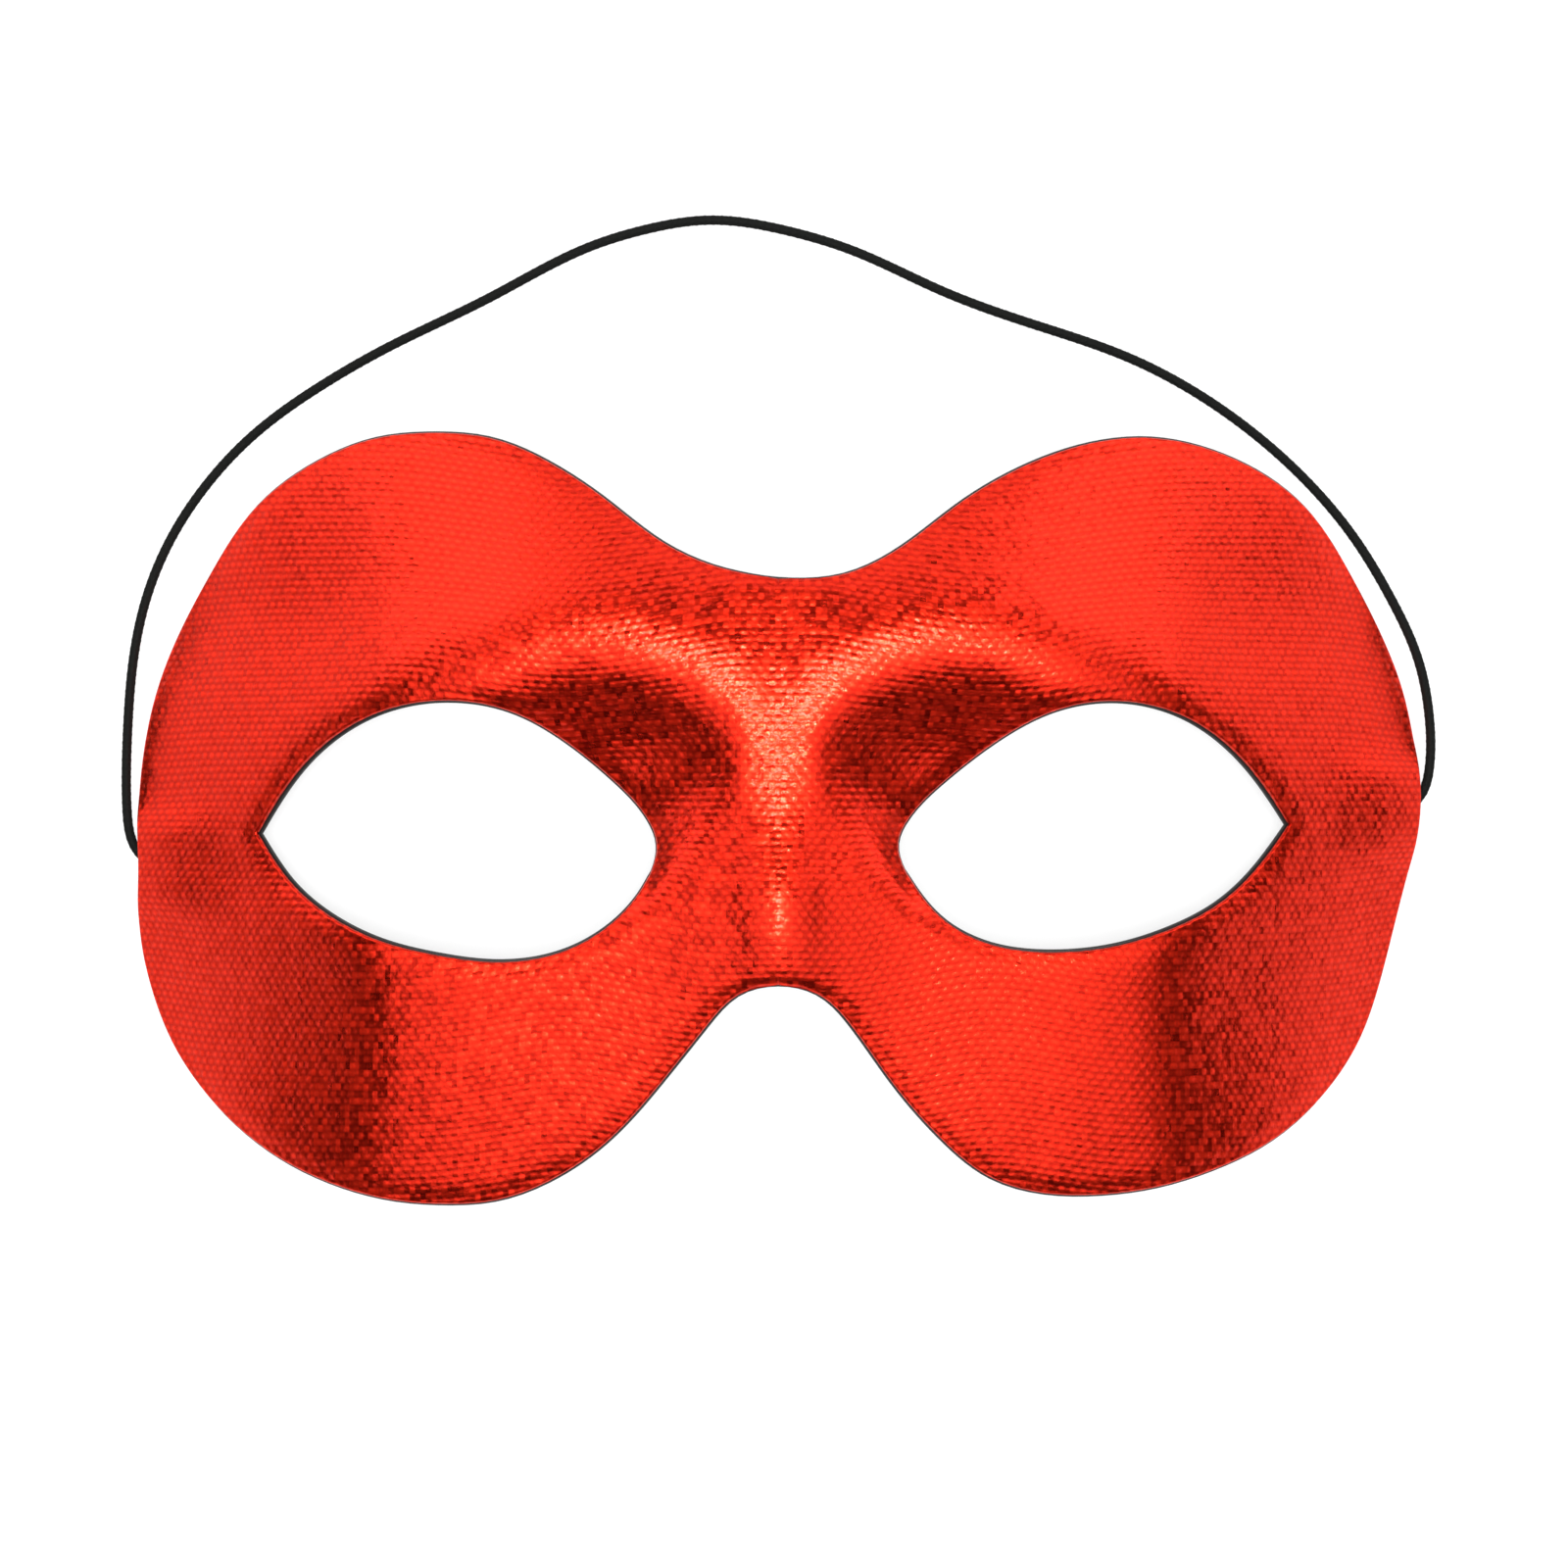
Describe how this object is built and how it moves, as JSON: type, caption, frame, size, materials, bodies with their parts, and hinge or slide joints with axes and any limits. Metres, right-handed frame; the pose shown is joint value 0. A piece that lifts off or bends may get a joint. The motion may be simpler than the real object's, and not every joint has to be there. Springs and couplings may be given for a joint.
{
  "type": "venetian half mask",
  "caption": "Moulded half mask over brow, eyes and upper cheeks, knitted metallic cover on a stiff backing, with an elastic head cord, lying face up.",
  "frame": {"origin": "middle of the mask's width and height, on the surface that its temples rest on", "axes": "+X to the right as seen from the front, +Y towards the forehead, +Z out of the face, up as it lies"},
  "size_m": [0.184, 0.1368, 0.0484],
  "materials": {
    "face_cover": "knitted metallic yarn, red",
    "backing_shell": "matt black",
    "cord_tab_left": "matt black",
    "cord_tab_right": "matt black",
    "elastic_cord": "braided, black"
  },
  "bodies": {
    "root": {"face_cover": "face_cover", "backing_shell": "backing_shell", "cord_tab_left": "cord_tab_left", "cord_tab_right": "cord_tab_right", "elastic_cord": "elastic_cord"}
  },
  "joints": []
}
